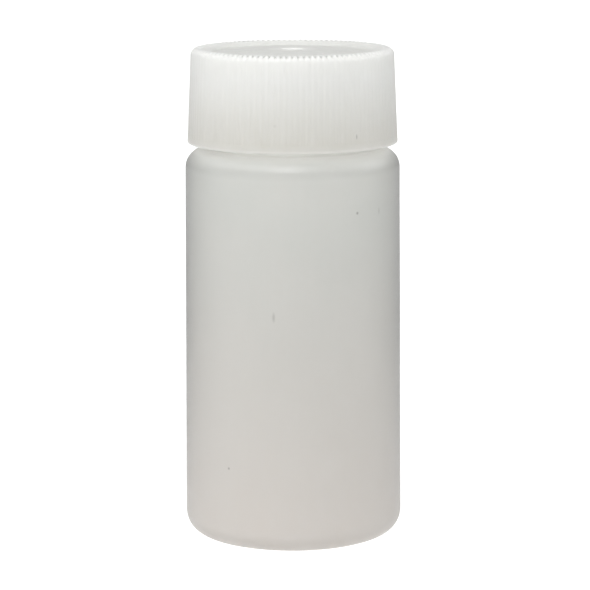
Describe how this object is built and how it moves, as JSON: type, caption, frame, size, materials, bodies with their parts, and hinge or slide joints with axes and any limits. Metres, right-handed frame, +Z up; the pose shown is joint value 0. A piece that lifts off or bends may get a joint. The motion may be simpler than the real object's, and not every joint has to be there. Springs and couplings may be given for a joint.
{
  "type": "reagent bottle",
  "caption": "Small straight-sided plastic reagent vial with a fine-ribbed screw cap that unscrews along its thread, and a foam liner.",
  "frame": {"origin": "centre of the flat ring that the vial stands on, in the plane it stands on", "axes": "+Z up along the vial's axis, from the base to the cap; +X and +Y are alike, because the vial is round"},
  "size_m": [0.0274, 0.0274, 0.0619],
  "materials": {
    "bottle_plastic": "satin natural polyethylene, slightly translucent",
    "cap_plastic": "satin natural-white polypropylene",
    "liner_foam": "matte closed-cell polyethylene foam with a smooth skin"
  },
  "bodies": {
    "bottle": {"bottle_body": "bottle_plastic"},
    "liner": {"cap_liner": "liner_foam"},
    "cap": {"screw_cap": "cap_plastic"}
  },
  "joints": [
    {"name": "cap_rise", "type": "slide", "parent": "bottle", "child": "liner", "axis": [0, 0, 1], "range_m": [0, 0.01032]},
    {"name": "cap_turn", "type": "hinge", "parent": "liner", "child": "cap", "pos_m": [0, 0, 0.0498], "axis": [0, 0, 1], "range_deg": [0, 1170]}
  ],
  "couplings": [
    {"joint": "cap_rise", "follows": "cap_turn", "m_per_rad": 0.00050532}
  ]
}
